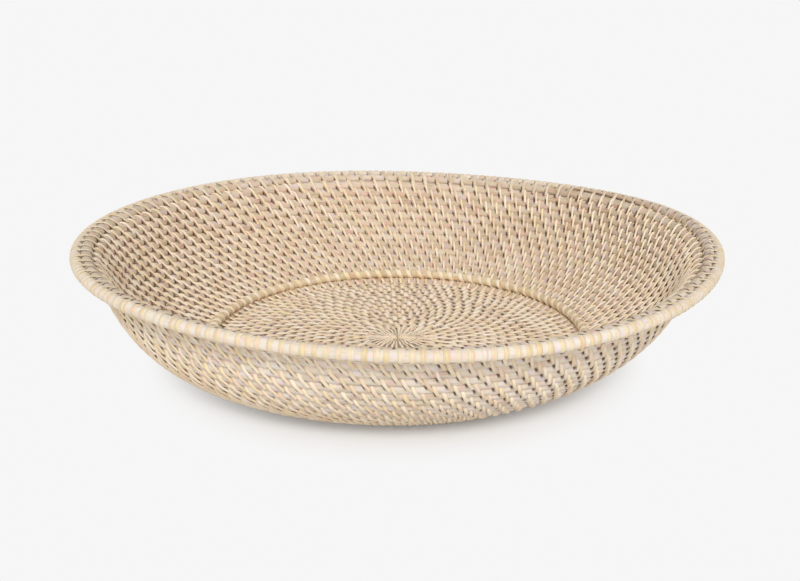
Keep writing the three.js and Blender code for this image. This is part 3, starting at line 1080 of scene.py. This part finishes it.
def wall_material():
    inside = ((220, 204, 188), (202, 180, 158), (154, 126, 102))
    outside = ((236, 226, 216), (214, 196, 178), (158, 136, 112))
    # Painted shade beside the wall's stitches, in dark brown
    hole_shade = dict(half=0.06, soft=0.045, shade_strength=0.92, low=-0.05, high=0.62)
    return cane_material("brushed_cane", inside, outside, ROW_WAYS, hole_shade, (78, 48, 28))


def floor_material():
    tones = ((224, 206, 188), (208, 186, 164), (168, 142, 116))
    # Painted shade on the cane between the floor's stitches
    hole_shade = dict(half=0.21, soft=0.1, shade_strength=0.9, low=0.1, high=0.7)
    return cane_material("floor_cane", tones, tones, ROW_WAYS, hole_shade, (80, 52, 32))


def hoop_material():
    inside = ((232, 222, 214), (224, 209, 193), (196, 174, 150))
    outside = ((234, 224, 216), (226, 211, 195), (198, 178, 156))
    # Painted shade between the windings, on the hoop's inner side
    hole_shade = dict(half=0.08, soft=0.05, shade_strength=0.5, low=0.2, high=0.6)
    return cane_material("hoop_cane", inside, outside, HOOP_WAYS, hole_shade, (96, 70, 46))


def ring_material():
    tones = ((222, 203, 172), (210, 188, 154), (168, 142, 108))
    # Painted shade between the windings, on the ring's inner side
    hole_shade = dict(half=0.06, soft=0.06, shade_strength=0.35, low=0.3, high=0.9)
    return cane_material("ring_cane", tones, tones, HOOP_WAYS, hole_shade, (84, 58, 38))


def split_cane_material():
    stops = [(0.0, (240, 219, 192)), (0.35, (249, 232, 210)), (0.7, (253, 242, 224)),
             (1.0, (248, 229, 196))]
    return strip_material("split_cane", stops, (220, 202, 180))


def lashing_material():
    stops = [(0.0, (235, 214, 178)), (0.25, (239, 222, 192)), (0.5, (240, 227, 206)),
             (0.75, (222, 204, 182)), (1.0, (216, 196, 172))]
    return strip_material("lashing_cane", stops, (200, 181, 160))


# The pieces, in the order in which they draw random numbers

WALL_MAT = wall_material()
FLOOR_MAT = floor_material()
SPLIT_MAT = split_cane_material()
FLOOR_STEP = math.floor((FLOOR_R - FIRST_R) / PITCH * STEPS)
make_canes("floor", 0, FLOOR_STEP, 2, FLOOR_MAT)
make_canes("wall", FLOOR_STEP, LAST_STEP, 5, WALL_MAT)

hoop = hoop_mesh("rim_hoop_cane", HOOP_R, HOOP_Z, HOOP_CANE, HOOP_CUT, HOOP_SECTIONS, 0.4,
                 rim_hoop_windings)
finish_piece(hoop, hoop_material(), ["rim_hoop"])
ring = hoop_mesh("ring_cane", RING_R, RING_Z, RING_CANE, RING_CUT, RING_SECTIONS, 0.7,
                 ring_windings)
finish_piece(ring, ring_material(), ["ring_rod"])

# The first turns are bound by the star alone, and the wall's stitches are parted half way up
STITCHES_FROM, WALL_STITCHES_FROM, WALL_HALF_WAY = 2.9, 17.9, 25.0
finish_piece(stitches("floor_stitches", STITCHES_FROM, WALL_STITCHES_FROM), SPLIT_MAT)
finish_piece(stitches("wall_stitches_low", WALL_STITCHES_FROM, WALL_HALF_WAY), SPLIT_MAT)
finish_piece(stitches("wall_stitches_high", WALL_HALF_WAY, TOP_START), SPLIT_MAT)

finish_piece(rim_lashing(), lashing_material(), ["rim_lashing"])
finish_piece(ring_lashing(), SPLIT_MAT)
finish_piece(star_strips(), SPLIT_MAT, ["floor_star"])

# Stage, light and camera, in metres. The shadow fades out between two distances from the middle.

BACKDROP = grey(0.922)
TABLE_TO_CAMERA, TABLE_TO_OBJECT = (0.93, 0.92, 0.91, 1.0), grey(0.86)
TABLE_HALF, TABLE_Z = 40, -0.0005
SHADOW_EDGE, LEAST_WHITE = (0.128, 0.19), 0.1
SOFT_LIGHT = 0.6
PHOTO_CAMERA = (0.0018, -0.706, 0.279)
PHOTO_LENS, PHOTO_LOOK_DOWN = 44.73, math.radians(18.42)


def table_material():
    """White as the camera sees it, but for the soft shadow close to the basket."""
    n = material_nodes("pale_floor")
    seen = n.add("ShaderNodeLightPath").outputs["Is Camera Ray"]
    colour = n.mix("MIX", seen, TABLE_TO_OBJECT, TABLE_TO_CAMERA)
    shade = n.add("ShaderNodeBsdfDiffuse", {"Color": colour}).outputs["BSDF"]
    white = n.add("ShaderNodeEmission", {"Color": BACKDROP}).outputs["Emission"]
    place = n.add("ShaderNodeNewGeometry").outputs["Position"]
    away = n.add("ShaderNodeVectorMath", {0: place}, operation="LENGTH").outputs["Value"]
    unshaded = n.map_range(away, SHADOW_EDGE, (LEAST_WHITE, 1.0), "SMOOTHSTEP")
    return n.finish(n.mix_shader(n.math("MULTIPLY", unshaded, seen), shade, white))


def make_table():
    corners = [(x * TABLE_HALF, y * TABLE_HALF, 0) for x, y in ((-1, -1), (1, -1), (1, 1), (-1, 1))]
    mesh = bpy.data.meshes.new("table_top")
    mesh.from_pydata(corners, [], [(0, 1, 2, 3)])
    mesh.materials.append(table_material())
    table_top = add_object("table_top", mesh)
    table_top.location.z = TABLE_Z


def make_world():
    """Soft white light all round, and the backdrop where the camera sees past the table."""
    n = Nodes(bpy.data.worlds.new("studio"), "ShaderNodeOutputWorld")
    seen = n.add("ShaderNodeLightPath").outputs["Is Camera Ray"]
    soft, backdrop = (
        n.add("ShaderNodeBackground", {"Color": colour, "Strength": strength}).outputs["Background"]
        for colour, strength in ((grey(1.0), SOFT_LIGHT), (BACKDROP, 1.0)))
    bpy.context.scene.world = n.finish(n.mix_shader(seen, soft, backdrop))


def sun(name, azimuth, elevation, strength, width):
    """A lamp far away, with its angles in degrees. Azimuth 0 is the camera's side."""
    light = bpy.data.lights.new(name, "SUN")
    light.energy = strength
    light.angle = math.radians(width)
    obj = add_object(name, light)
    obj.rotation_euler = (math.pi / 2 - math.radians(elevation), 0, math.radians(azimuth))


def make_camera():
    lens = bpy.data.cameras.new("camera")
    lens.sensor_width = 36
    lens.sensor_fit = "HORIZONTAL"
    lens.lens = PHOTO_LENS
    lens.clip_start = 0.01
    lens.clip_end = 100
    camera = add_object("camera", lens)
    camera.location = PHOTO_CAMERA
    camera.rotation_euler = (math.pi / 2 - PHOTO_LOOK_DOWN, 0, 0)
    bpy.context.scene.camera = camera


make_table()
make_world()
sun("key", azimuth=4, elevation=40, strength=1.5, width=14)
sun("fill", azimuth=8, elevation=10, strength=0.6, width=50)
make_camera()
bpy.context.scene.view_settings.view_transform = "Standard"
